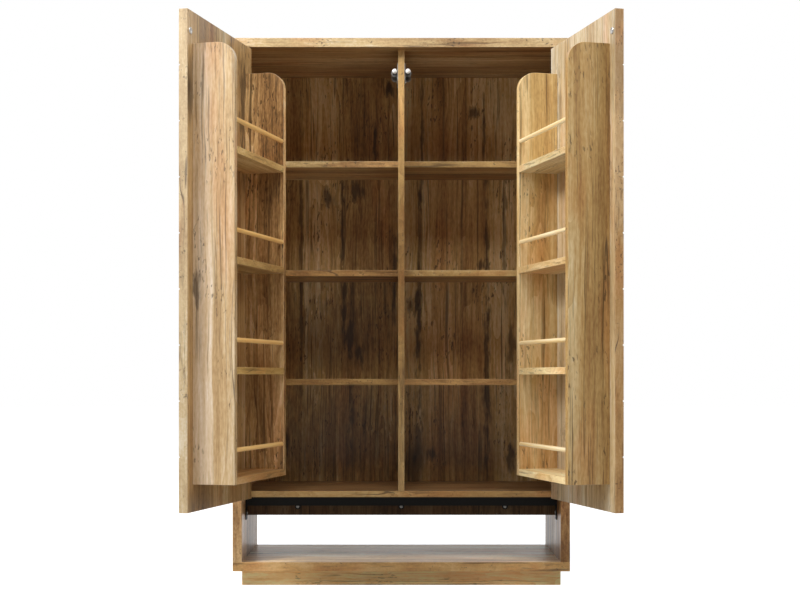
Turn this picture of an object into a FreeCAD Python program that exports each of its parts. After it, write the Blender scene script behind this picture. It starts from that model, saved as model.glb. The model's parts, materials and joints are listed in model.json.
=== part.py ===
import FreeCAD, Part
import os

os.makedirs("parts", exist_ok=True)

# Carcass boards; all sizes are millimetres and degrees
carcass_width = 800.0
carcass_height = 1300.0
carcass_depth = 350.0
side_thickness = 22.0
top_thickness = 22.0
base_thickness = 22.0
inner_thickness = 15.0
edge_radius = 0.8

# Back panel, held in a groove round the inside of the carcass
back_thickness = 4.0
back_setback = 10.0
back_groove_depth = 6.0
back_groove_clearance = 0.2

# Plinth, open niche and shelves
plinth_height = 35.0
plinth_setback = 20.0
plinth_thickness = 18.0
niche_height = 152.0
shelves_per_side = 3

# Square steel bar and wooden apron under the cabinet floor
bar_setback = 75.0
bar_size = 25.0
bar_wall = 1.5
bar_tab_thickness = 2.5
bar_tab_drop = 59.0
bar_tab_screw_drop = 42.0
bar_lug_radius = 7.0
bar_lug_drop = 4.0
bar_lug_spacing = 253.0
apron_height = 50.0

# Doors
door_thickness = 20.0
door_side_gap = 3.0
door_centre_gap = 3.0
door_top_gap = 7.0
door_rear_clearance = 5.0
door_open_angle = 104.8
door_strips = 9
door_groove_width = 5.0
door_groove_depth = 3.0

# Racks on the doors
rack_depth = 95.0
rack_bottom_margin = 59.0
rack_top_margin = 68.0
rack_hinge_margin = 26.0
rack_free_margin = 27.0
rack_corner_radius = 40.0
rack_shelf_clearance = 3.0
rack_shelves = 4
rail_diameter = 10.0
rail_rise = 58.0
rail_front_cover = 0.5
rail_seat = 8.0
rail_clearance = 0.1

# Butt hinges
hinges_per_door = 3
hinge_height = 70.0
hinge_end_distance = 90.0
hinge_knuckles = 5
hinge_knuckle_gap = 0.3
hinge_knuckle_diameter = 8.0
hinge_leaf_thickness = 1.2
hinge_leaf_rear_margin = 2.0
hinge_pin_diameter = 4.0
hinge_pin_clearance = 0.05
hinge_pin_head_diameter = 6.0
hinge_pin_head_height = 1.2
hinge_screws_per_leaf = 2
hinge_screw_end_distance = 15.0

# Push latches on the divider and their strikes on the doors
latch_rack_clearance = 3.0
latch_bracket_height = 42.0
latch_bracket_thickness = 2.2
latch_tube_diameter = 12.4
latch_tube_length = 90.0
latch_tube_end = 3.0
latch_tube_clearance = 0.1
latch_collar_wall = 1.7
latch_collar_width = 10.0
latch_collar_end_distance = 12.0
latch_screw_edge_distance = 6.0
latch_travel = 3.0
latch_stop_clearance = 0.5
latch_strike_gap = 0.4
latch_tip_diameter = 12.0
latch_tip_length = 9.0
latch_plunger_diameter = 8.0
latch_plunger_length = 45.0
latch_spring_wall = 1.0
strike_diameter = 15.0
strike_thickness = 2.0

# Dowels and screws
dowel_diameter = 6.0
dowel_seat = 12.0
dowel_inset = 45.0
dowel_clearance = 0.05
dowels_per_short_joint = 2
dowels_per_long_joint = 3
plinth_dowel_inset = 90.0
rack_dowel_inset = 22.0
screw_shank_diameter = 3.0
screw_length = 12.0
screw_head_diameter = 5.2
screw_countersink = 1.2
screw_clearance = 0.05
pan_head_diameter = 8.0
pan_head_height = 2.4
pan_head_round = 1.0
latch_screw_length = 6.0

# Directions
Vector = FreeCAD.Vector
origin = Vector(0, 0, 0)
right = Vector(1, 0, 0)
rear = Vector(0, 1, 0)
up = Vector(0, 0, 1)
parallel_tolerance = 1e-6

# Levels and planes that follow from the sizes above
half_width = carcass_width / 2
inner_half_width = half_width - side_thickness
front_y = -carcass_depth / 2
rear_y = carcass_depth / 2
base_top_z = plinth_height + base_thickness
niche_top_z = base_top_z + niche_height
floor_top_z = niche_top_z + inner_thickness
inner_top_z = carcass_height - top_thickness
inner_front_y = front_y + door_thickness + door_rear_clearance
back_rear_y = rear_y - back_setback
back_front_y = back_rear_y - back_thickness
shelf_front_y = front_y + door_thickness + rack_depth + rack_shelf_clearance
shelves_thickness = shelves_per_side * inner_thickness
shelf_clear_height = (inner_top_z - floor_top_z - shelves_thickness) / (shelves_per_side + 1)
divider_half = inner_thickness / 2

# The left door when it is shut
door_hinge_x = -(inner_half_width - door_side_gap)
door_free_x = -door_centre_gap / 2
door_bottom_z = niche_top_z
door_top_z = inner_top_z - door_top_gap
door_height = door_top_z - door_bottom_z
door_inner_y = front_y + door_thickness
rack_front_y = door_inner_y + rack_depth
rack_bottom_z = door_bottom_z + rack_bottom_margin
rack_top_z = door_top_z - rack_top_margin
rack_pitch = (rack_top_z - rack_bottom_z) / rack_shelves
rack_hinge_x = door_hinge_x + rack_hinge_margin
rack_free_x = door_free_x - rack_free_margin
knuckle_radius = hinge_knuckle_diameter / 2
pin_x = -(inner_half_width - door_side_gap / 2)
pin_y = front_y - knuckle_radius
pin_foot = Vector(pin_x, pin_y, 0)
leaf_front_y = pin_y + knuckle_radius + hinge_knuckle_gap
leaf_rear_y = door_inner_y - hinge_leaf_rear_margin
hinge_span = door_height - hinge_height - 2 * hinge_end_distance
hinge_pitch = hinge_span / (hinges_per_door - 1)
hinge_bottoms = [door_bottom_z + hinge_end_distance + i * hinge_pitch for i in range(hinges_per_door)]

# The left latch
latch_tube_radius = latch_tube_diameter / 2
latch_x = -(divider_half + latch_bracket_thickness + latch_tube_clearance + latch_tube_radius)
latch_z = rack_top_z + latch_rack_clearance + latch_bracket_height / 2
tip_front_y = door_inner_y + strike_thickness + latch_strike_gap
tip_rear_y = tip_front_y + latch_tip_length
tube_front_y = tip_rear_y + latch_travel + latch_stop_clearance
tube_rear_y = tube_front_y + latch_tube_length
plunger_radius = latch_plunger_diameter / 2
bore_radius = plunger_radius + latch_tube_clearance


def board(x_low, x_high, y_low, y_high, z_low, z_high):
    """A straight board between two corners."""
    return Part.makeBox(x_high - x_low, y_high - y_low, z_high - z_low, Vector(x_low, y_low, z_low))


def eased(solid, along=None):
    """Rounds a board's sharp edges: all of them, or those that run along one direction."""
    edges = solid.Edges
    if along is not None:
        tangents = [edge.tangentAt(edge.FirstParameter) for edge in edges]
        slants = [tangent.cross(along).Length for tangent in tangents]
        edges = [edge for edge, slant in zip(edges, slants) if slant < parallel_tolerance]
    return solid.makeFillet(edge_radius, edges)


def rod(start, direction, length, diameter):
    """A round bar that starts at a point and runs along a direction."""
    return Part.makeCylinder(diameter / 2, length, start, direction)


def spread(low, high, inset, count):
    """Evenly spaced places between two ends, the outer ones an inset away from them."""
    step = (high - low - 2 * inset) / (count - 1)
    return [low + inset + i * step for i in range(count)]


def mirrored(shape):
    """The same shape on the other side of the cabinet."""
    return shape.mirror(origin, right)


def with_mirror(shapes):
    """A list of left-hand shapes followed by their right-hand twins."""
    return shapes + [mirrored(shape) for shape in shapes]


def drilled(solid, holes):
    """Cuts from a piece those holes that reach into it."""
    near = [hole for hole in holes if hole.BoundBox.intersect(solid.BoundBox)]
    return solid.cut(near).Solids[0]


def opened(shape):
    """Swings a left-hand door piece about its hinge pins to the open resting place."""
    swung = shape.copy()
    swung.rotate(pin_foot, up, -door_open_angle)
    return swung


def save(name, shapes):
    """Writes one piece, or one group of like pieces."""
    shape = shapes[0] if len(shapes) == 1 else Part.makeCompound(shapes)
    shape.exportStep("parts/" + name + ".step")


def save_pair(name, shapes):
    """Writes a left-hand piece and its right-hand twin."""
    save("left_" + name, shapes)
    save("right_" + name, [mirrored(shape) for shape in shapes])


def dowel(spot, clearance=0.0):
    """A dowel from its middle, direction and half length; with a clearance, the hole that it sits in."""
    middle, direction, half_length = spot
    reach = half_length + clearance
    return rod(middle - direction * reach, direction, 2 * reach, dowel_diameter + 2 * clearance)


def dowel_holes(spots):
    """The holes for a list of dowels."""
    return [dowel(spot, dowel_clearance) for spot in spots]


def countersunk_screw(head, direction, clearance=0.0):
    """A screw whose flat head lies flush at a point; with a clearance, the hole that it sits in."""
    shank = rod(head, direction, screw_length + clearance, screw_shank_diameter + 2 * clearance)
    head_radius = screw_head_diameter / 2 + clearance
    shank_radius = screw_shank_diameter / 2 + clearance
    cone = Part.makeCone(head_radius, shank_radius, screw_countersink, head, direction)
    return shank.fuse(cone).removeSplitter()


def pan_screw(seat, direction, length):
    """A screw with a round raised head that stands on a surface."""
    head = rod(seat, direction * -1, pan_head_height, pan_head_diameter)
    outer = max(head.Edges, key=lambda edge: (edge.CenterOfMass - seat).dot(direction * -1))
    head = head.makeFillet(pan_head_round, [outer])
    return head.fuse(rod(seat, direction, length, screw_shank_diameter)).removeSplitter()


def pan_screw_hole(seat, direction, length):
    """The hole for a raised-head screw's shank."""
    return rod(seat, direction, length + screw_clearance, screw_shank_diameter + 2 * screw_clearance)


# Dowel places: middle, direction, half length
shelf_undersides = []
for level in range(shelves_per_side):
    rise = (level + 1) * shelf_clear_height + level * inner_thickness
    shelf_undersides.append(floor_top_z + rise)
side_middle_x = -(half_width - side_thickness / 2)
floor_middle_z = niche_top_z + inner_thickness / 2
carcass_spots = []
for y in spread(front_y, rear_y, dowel_inset, dowels_per_long_joint):
    for x in (side_middle_x, -side_middle_x):
        carcass_spots.append((Vector(x, y, inner_top_z), up, dowel_seat))
        carcass_spots.append((Vector(x, y, base_top_z), up, dowel_seat))
for y in spread(inner_front_y, back_front_y, dowel_inset, dowels_per_short_joint):
    carcass_spots.append((Vector(0, y, inner_top_z), up, dowel_seat))
    carcass_spots.append((Vector(0, y, floor_top_z), up, dowel_seat))
    for x in (-inner_half_width, inner_half_width):
        carcass_spots.append((Vector(x, y, floor_middle_z), right, dowel_seat))
for underside in shelf_undersides:
    for y in spread(shelf_front_y, back_front_y, dowel_inset, dowels_per_short_joint):
        middle_z = underside + inner_thickness / 2
        carcass_spots.append((Vector(0, y, middle_z), right, divider_half + dowel_seat))
        for x in (-inner_half_width, inner_half_width):
            carcass_spots.append((Vector(x, y, middle_z), right, dowel_seat))
plinth_half_width = half_width - plinth_setback
plinth_front_y = front_y + plinth_setback
plinth_rear_y = rear_y - plinth_setback
plinth_inner_front_y = plinth_front_y + plinth_thickness
plinth_inner_rear_y = plinth_rear_y - plinth_thickness
plinth_middle_x = plinth_half_width - plinth_thickness / 2
for y in (plinth_front_y + plinth_thickness / 2, plinth_rear_y - plinth_thickness / 2):
    for x in spread(-plinth_half_width, plinth_half_width, plinth_dowel_inset, dowels_per_long_joint):
        carcass_spots.append((Vector(x, y, plinth_height), up, dowel_seat))
for y in spread(plinth_inner_front_y, plinth_inner_rear_y, dowel_inset, dowels_per_short_joint):
    for x in (-plinth_middle_x, 0, plinth_middle_x):
        carcass_spots.append((Vector(x, y, plinth_height), up, dowel_seat))
carcass_holes = dowel_holes(carcass_spots)

# Screws of the hinges, in the shut door's place
frame_leaf_inner_x = -inner_half_width + hinge_leaf_thickness
door_leaf_outer_x = door_hinge_x - hinge_leaf_thickness
leaf_middle_y = (leaf_front_y + leaf_rear_y) / 2
frame_screw_heads = []
door_screw_heads = []
for bottom in hinge_bottoms:
    for z in spread(bottom, bottom + hinge_height, hinge_screw_end_distance, hinge_screws_per_leaf):
        frame_screw_heads.append(Vector(frame_leaf_inner_x, leaf_middle_y, z))
        door_screw_heads.append(Vector(door_leaf_outer_x, leaf_middle_y, z))
frame_screws = [countersunk_screw(head, right * -1) for head in frame_screw_heads]
frame_screw_holes = [countersunk_screw(head, right * -1, screw_clearance) for head in frame_screw_heads]
door_hinge_screws = [countersunk_screw(head, right) for head in door_screw_heads]
door_hinge_screw_holes = [countersunk_screw(head, right, screw_clearance) for head in door_screw_heads]

# Screws of the steel bar
bar_front_y = front_y + bar_setback
bar_rear_y = bar_front_y + bar_size
bar_bottom_z = niche_top_z - bar_size
bar_tab_inner_x = -inner_half_width + bar_tab_thickness
tab_screw_seat = Vector(bar_tab_inner_x, bar_front_y + bar_size / 2, niche_top_z - bar_tab_screw_drop)
lug_front_y = bar_rear_y - bar_tab_thickness
lug_z = bar_bottom_z - bar_lug_drop
lug_seats = [Vector(x, lug_front_y, lug_z) for x in (-bar_lug_spacing, 0, bar_lug_spacing)]
lug_screws = [pan_screw(seat, rear, screw_length) for seat in lug_seats]
lug_screw_holes = [pan_screw_hole(seat, rear, screw_length) for seat in lug_seats]
tab_screws = with_mirror([pan_screw(tab_screw_seat, right * -1, screw_length)])
tab_screw_holes = with_mirror([pan_screw_hole(tab_screw_seat, right * -1, screw_length)])

# Screws of the latch brackets
latch_plate_outer_x = -divider_half - latch_bracket_thickness
latch_middle_y = (tube_front_y + tube_rear_y) / 2
latch_screw_rise = latch_bracket_height / 2 - latch_screw_edge_distance
latch_screw_levels = (latch_z - latch_screw_rise, latch_z + latch_screw_rise)
latch_seats = [Vector(latch_plate_outer_x, latch_middle_y, z) for z in latch_screw_levels]
latch_screws = with_mirror([pan_screw(seat, right, latch_screw_length) for seat in latch_seats])
latch_screw_holes = with_mirror([pan_screw_hole(seat, right, latch_screw_length) for seat in latch_seats])

# Groove for the back panel
groove_half_width = inner_half_width + back_groove_depth
groove_bottom_z = floor_top_z - back_groove_depth
groove_top_z = inner_top_z + back_groove_depth
back_groove = board(
    -groove_half_width, groove_half_width,
    back_front_y - back_groove_clearance, back_rear_y + back_groove_clearance,
    groove_bottom_z, groove_top_z,
)


def make_carcass():
    """Top, sides, base, floor, divider and back."""
    top = eased(board(-half_width, half_width, front_y, rear_y, inner_top_z, carcass_height))
    save("top_panel", [drilled(top.cut(back_groove), carcass_holes)])
    base = eased(board(-half_width, half_width, front_y, rear_y, plinth_height, base_top_z))
    save("base_panel", [drilled(base, carcass_holes)])
    side = eased(board(-half_width, -inner_half_width, front_y, rear_y, base_top_z, inner_top_z), up)
    side = drilled(side.cut(back_groove), carcass_holes + frame_screw_holes + tab_screw_holes)
    save_pair("side_panel", [side])
    floor = board(-inner_half_width, inner_half_width, inner_front_y, rear_y, niche_top_z, floor_top_z)
    save("cabinet_floor", [drilled(eased(floor, right).cut(back_groove), carcass_holes)])
    divider = board(-divider_half, divider_half, inner_front_y, back_front_y, floor_top_z, inner_top_z)
    save("centre_divider", [drilled(eased(divider, up), carcass_holes + latch_screw_holes)])
    panel_half_width = groove_half_width - back_groove_clearance
    panel_bottom_z = groove_bottom_z + back_groove_clearance
    panel_top_z = groove_top_z - back_groove_clearance
    save("back_panel", [board(
        -panel_half_width, panel_half_width, back_front_y, back_rear_y, panel_bottom_z, panel_top_z,
    )])
    save("carcass_dowels", [dowel(spot) for spot in carcass_spots])


def make_shelves():
    """The fixed shelves on both sides of the divider, counted from the lowest."""
    for number, underside in enumerate(shelf_undersides, start=1):
        shelf = board(
            -inner_half_width, -divider_half, shelf_front_y, back_front_y,
            underside, underside + inner_thickness,
        )
        save_pair("shelf_" + str(number), [drilled(eased(shelf, right), carcass_holes)])


def make_plinth():
    """The recessed plinth: four boards and a brace under the middle."""
    front = board(
        -plinth_half_width, plinth_half_width,
        plinth_front_y, plinth_inner_front_y, 0, plinth_height,
    )
    save("plinth_front", [drilled(eased(front, up), carcass_holes)])
    back = board(
        -plinth_half_width, plinth_half_width,
        plinth_inner_rear_y, plinth_rear_y, 0, plinth_height,
    )
    save("plinth_back", [drilled(eased(back, up), carcass_holes)])
    end = board(
        -plinth_half_width, plinth_thickness - plinth_half_width,
        plinth_inner_front_y, plinth_inner_rear_y, 0, plinth_height,
    )
    save_pair("plinth_end", [drilled(end, carcass_holes)])
    brace = board(
        -plinth_thickness / 2, plinth_thickness / 2,
        plinth_inner_front_y, plinth_inner_rear_y, 0, plinth_height,
    )
    save("plinth_brace", [drilled(brace, carcass_holes)])


def make_support_bar():
    """The black steel bar under the floor, its end tabs and rear lugs, and the apron behind it."""
    bar = eased(board(
        bar_tab_inner_x, -bar_tab_inner_x, bar_front_y, bar_rear_y, bar_bottom_z, niche_top_z,
    ), right)
    for seat in lug_seats:
        bar = bar.fuse(rod(seat, rear, bar_tab_thickness, 2 * bar_lug_radius))
        bar = bar.fuse(board(
            seat.x - bar_lug_radius, seat.x + bar_lug_radius, lug_front_y, bar_rear_y,
            seat.z, bar_bottom_z + bar_wall,
        ))
    bar = bar.cut(board(
        bar_tab_inner_x, -bar_tab_inner_x, bar_front_y + bar_wall, bar_rear_y - bar_wall,
        bar_bottom_z + bar_wall, niche_top_z - bar_wall,
    ))
    bar = drilled(bar.removeSplitter(), lug_screw_holes)
    tab = board(
        -inner_half_width, bar_tab_inner_x, bar_front_y, bar_rear_y,
        niche_top_z - bar_tab_drop, niche_top_z,
    )
    tab = drilled(tab, tab_screw_holes)
    save("support_bar", [bar] + with_mirror([tab]))
    apron = board(
        -inner_half_width, inner_half_width, bar_rear_y, bar_rear_y + inner_thickness,
        niche_top_z - apron_height, niche_top_z,
    )
    save("niche_apron", [drilled(eased(apron, right), lug_screw_holes)])
    save("support_bar_screws", lug_screws + tab_screws)


def hinge_leaf(bottom, x_low, x_high, first_knuckle):
    """One leaf: a plate, and every second knuckle round the pin, starting with the given one."""
    pitch = hinge_height / hinge_knuckles
    leaf = board(x_low, x_high, leaf_front_y, leaf_rear_y, bottom, bottom + hinge_height)
    for index in range(first_knuckle, hinge_knuckles, 2):
        low = bottom + index * pitch + hinge_knuckle_gap / 2
        high = bottom + (index + 1) * pitch - hinge_knuckle_gap / 2
        leaf = leaf.fuse(rod(Vector(pin_x, pin_y, low), up, high - low, hinge_knuckle_diameter))
        leaf = leaf.fuse(board(x_low, x_high, pin_y, leaf_front_y, low, high))
    bore_diameter = hinge_pin_diameter + 2 * hinge_pin_clearance
    bore = rod(Vector(pin_x, pin_y, bottom), up, hinge_height, bore_diameter)
    return leaf.cut(bore).removeSplitter()


def hinge_pin(bottom):
    """A pin with a flat head at each end."""
    foot = Vector(pin_x, pin_y, bottom)
    pin = rod(foot, up, hinge_height, hinge_pin_diameter)
    pin = pin.fuse(rod(foot, up * -1, hinge_pin_head_height, hinge_pin_head_diameter))
    pin = pin.fuse(rod(foot + up * hinge_height, up, hinge_pin_head_height, hinge_pin_head_diameter))
    return pin.removeSplitter()


def make_hinges():
    """Frame leaves, door leaves, pins and screws."""
    frame_leaves = []
    door_leaves = []
    for bottom in hinge_bottoms:
        frame_leaf = hinge_leaf(bottom, -inner_half_width, frame_leaf_inner_x, 0)
        frame_leaves.append(drilled(frame_leaf, frame_screw_holes))
        door_leaf = hinge_leaf(bottom, door_leaf_outer_x, door_hinge_x, 1)
        door_leaves.append(opened(drilled(door_leaf, door_hinge_screw_holes)))
    save("hinge_frame_leaves", with_mirror(frame_leaves))
    save("hinge_pins", with_mirror([hinge_pin(bottom) for bottom in hinge_bottoms]))
    save("hinge_frame_screws", with_mirror(frame_screws))
    save_pair("hinge_door_leaves", door_leaves)


def make_doors():
    """The grooved doors with their strikes and the racks on their inner faces."""
    rack_boards = {
        "rack_hinge_side": (rack_hinge_x, rack_hinge_x + inner_thickness),
        "rack_free_side": (rack_free_x - inner_thickness, rack_free_x),
    }
    shelf_ends = (rack_hinge_x + inner_thickness, rack_free_x - inner_thickness)
    shelf_bottoms = [rack_bottom_z + i * rack_pitch for i in range(rack_shelves)]
    spots = []
    for x_low, x_high in rack_boards.values():
        for z in spread(rack_bottom_z, rack_top_z, dowel_inset, rack_shelves):
            spots.append((Vector((x_low + x_high) / 2, door_inner_y, z), rear, dowel_seat))
    for bottom in shelf_bottoms:
        for y in spread(door_inner_y, rack_front_y, rack_dowel_inset, dowels_per_short_joint):
            for x in shelf_ends:
                spots.append((Vector(x, y, bottom + inner_thickness / 2), right, dowel_seat))
    holes = dowel_holes(spots)

    door = eased(board(door_hinge_x, door_free_x, front_y, door_inner_y, door_bottom_z, door_top_z))
    strip_height = door_height / door_strips
    for index in range(1, door_strips):
        z = door_bottom_z + index * strip_height
        mouth_low = Vector(door_hinge_x, front_y, z - door_groove_width / 2)
        mouth_high = Vector(door_hinge_x, front_y, z + door_groove_width / 2)
        root = Vector(door_hinge_x, front_y + door_groove_depth, z)
        outline = Part.Face(Part.makePolygon([mouth_low, mouth_high, root, mouth_low]))
        door = door.cut(outline.extrude(right * (door_free_x - door_hinge_x)))
    strike_face = Vector(latch_x, door_inner_y + strike_thickness, latch_z)
    strike_hole = countersunk_screw(strike_face, rear * -1, screw_clearance)
    door = drilled(door, holes + door_hinge_screw_holes + [strike_hole])
    save_pair("door_panel", [opened(door)])
    strike = rod(strike_face, rear * -1, strike_thickness, strike_diameter)
    save_pair("door_strike", [opened(strike.cut(strike_hole))])
    door_screws = door_hinge_screws + [countersunk_screw(strike_face, rear * -1)]
    save_pair("door_screws", [opened(screw) for screw in door_screws])

    rail_y = rack_front_y - rail_front_cover - rail_diameter / 2
    rail_start_x = shelf_ends[0] - rail_seat
    rail_length = shelf_ends[1] - shelf_ends[0] + 2 * rail_seat
    rails = []
    rail_holes = []
    for bottom in shelf_bottoms:
        start = Vector(rail_start_x, rail_y, bottom + inner_thickness + rail_rise)
        rails.append(rod(start, right, rail_length, rail_diameter))
        hole_start = start - right * rail_clearance
        hole_length = rail_length + 2 * rail_clearance
        rail_holes.append(rod(hole_start, right, hole_length, rail_diameter + 2 * rail_clearance))
    save_pair("rack_rails", [opened(rail) for rail in rails])
    for name, (x_low, x_high) in rack_boards.items():
        side = board(x_low, x_high, door_inner_y, rack_front_y, rack_bottom_z, rack_top_z)
        corner = Vector((x_low + x_high) / 2, rack_front_y, rack_top_z)
        upper_front = min(side.Edges, key=lambda edge: (edge.CenterOfMass - corner).Length)
        side = eased(side.makeFillet(rack_corner_radius, [upper_front]))
        save_pair(name, [opened(drilled(side, holes + rail_holes))])
    for number, bottom in enumerate(shelf_bottoms, start=1):
        shelf = board(
            shelf_ends[0], shelf_ends[1], door_inner_y, rack_front_y,
            bottom, bottom + inner_thickness,
        )
        save_pair("rack_shelf_" + str(number), [opened(drilled(eased(shelf, right), holes))])
    save_pair("rack_dowels", [opened(dowel(spot)) for spot in spots])


def make_latches():
    """Bracket, tube, spring, plunger and ball-shaped tip of the push latches."""
    plate_low_z = latch_z - latch_bracket_height / 2
    plate_high_z = latch_z + latch_bracket_height / 2
    plate = eased(board(
        latch_plate_outer_x, -divider_half, tube_front_y, tube_rear_y, plate_low_z, plate_high_z,
    ), right)
    bracket = plate
    tube_space = rod(Vector(latch_x, tube_front_y, latch_z), rear, latch_tube_length,
                     latch_tube_diameter + latch_tube_clearance)
    first_collar_y = tube_front_y + latch_collar_end_distance
    last_collar_y = tube_rear_y - latch_collar_end_distance - latch_collar_width
    for y in (first_collar_y, last_collar_y):
        collar_diameter = latch_tube_diameter + 2 * latch_collar_wall
        bracket = bracket.fuse(rod(Vector(latch_x, y, latch_z), rear, latch_collar_width, collar_diameter))
    bracket = drilled(bracket.cut(tube_space), latch_screw_holes)
    save_pair("latch_bracket", [bracket])
    tube_front = Vector(latch_x, tube_front_y, latch_z)
    tube = rod(tube_front, rear, latch_tube_length, latch_tube_diameter)
    bore_length = latch_tube_length - latch_tube_end
    save_pair("latch_tube", [tube.cut(rod(tube_front, rear, bore_length, 2 * bore_radius))])
    ball_middle = Vector(latch_x, tip_front_y + latch_tip_diameter / 2, latch_z)
    ball = Part.makeSphere(latch_tip_diameter / 2, ball_middle)
    flat = rod(Vector(latch_x, tip_rear_y, latch_z), rear, latch_tip_diameter, 2 * latch_tip_diameter)
    save_pair("latch_tip", [ball.cut(flat)])
    tip_rear = Vector(latch_x, tip_rear_y, latch_z)
    save_pair("latch_plunger", [rod(tip_rear, rear, latch_plunger_length, latch_plunger_diameter)])
    spring_front_y = tip_rear_y + latch_plunger_length + latch_travel + latch_stop_clearance
    spring_length = tube_front_y + bore_length - spring_front_y
    spring_front = Vector(latch_x, spring_front_y, latch_z)
    spring = rod(spring_front, rear, spring_length, latch_plunger_diameter)
    spring_bore = latch_plunger_diameter - 2 * latch_spring_wall
    spring = spring.cut(rod(spring_front, rear, spring_length, spring_bore))
    save("latch_springs", with_mirror([spring]))
    save("latch_bracket_screws", latch_screws)


make_carcass()
make_shelves()
make_plinth()
make_support_bar()
make_hinges()
make_doors()
make_latches()
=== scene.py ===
import json
import math

import bpy
from mathutils import Matrix, Vector


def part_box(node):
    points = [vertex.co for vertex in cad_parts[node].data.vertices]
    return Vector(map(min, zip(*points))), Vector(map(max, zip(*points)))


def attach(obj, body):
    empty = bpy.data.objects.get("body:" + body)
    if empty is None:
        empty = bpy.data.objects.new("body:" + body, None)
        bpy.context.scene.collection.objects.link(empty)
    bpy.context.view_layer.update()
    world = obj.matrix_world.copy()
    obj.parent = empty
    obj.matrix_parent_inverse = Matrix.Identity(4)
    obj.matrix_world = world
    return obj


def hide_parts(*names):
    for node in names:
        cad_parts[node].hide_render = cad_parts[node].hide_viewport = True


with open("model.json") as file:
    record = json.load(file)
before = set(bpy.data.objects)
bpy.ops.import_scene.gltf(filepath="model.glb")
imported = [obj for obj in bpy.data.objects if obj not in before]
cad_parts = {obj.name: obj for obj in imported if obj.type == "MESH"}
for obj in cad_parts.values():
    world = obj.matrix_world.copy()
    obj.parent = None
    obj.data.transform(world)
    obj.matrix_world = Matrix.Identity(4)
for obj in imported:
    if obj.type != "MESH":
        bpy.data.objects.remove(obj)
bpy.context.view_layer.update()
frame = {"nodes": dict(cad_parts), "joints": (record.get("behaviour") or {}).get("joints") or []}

bl_info = {
    "name": "Kitchen buffet cabinet",
    "version": (1, 0, 0),
    "blender": (4, 5, 0),
    "location": "View3D > Sidebar > Cabinet",
    "description": "Oak boards, fittings, light and camera of a kitchen buffet cabinet with two rack doors",
    "category": "Object",
}

# The cabinet as it was packed
JOINTS = {joint["name"]: joint for joint in frame["joints"]}
SIDES = ("left", "right")
CARCASS = "carcass"

# Directions
RIGHT = Vector((1, 0, 0))
REAR = Vector((0, 1, 0))
UP = Vector((0, 0, 1))
STAY = Matrix.Identity(4)

# Boards of the carcass by the way their grain runs
LYING_BOARDS = ["top_panel", "base_panel", "cabinet_floor"]
LYING_BOARDS += [f"{side}_shelf_{level}" for side in SIDES for level in (1, 2, 3)]
FRONT_BOARDS = ("plinth_front", "plinth_back")
UPRIGHT_BOARDS = ("left_side_panel", "right_side_panel", "centre_divider")
DEEP_BOARDS = ("left_plinth_end", "right_plinth_end", "plinth_brace")
REAR_BOARDS = ("back_panel", "niche_apron")

# Boards of a door's rack, and other pieces that go together
RACK_SIDES = ("rack_hinge_side", "rack_free_side")
RACK_SHELVES = [f"rack_shelf_{level}" for level in (1, 2, 3, 4)]
GROOVED_BOARDS = ("left_door_panel", "right_door_panel")
BARE_BACKED = "back_panel"
HINGE_PIECES = ("hinge_frame_leaves", "hinge_pins", "left_hinge_door_leaves", "right_hinge_door_leaves")

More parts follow.
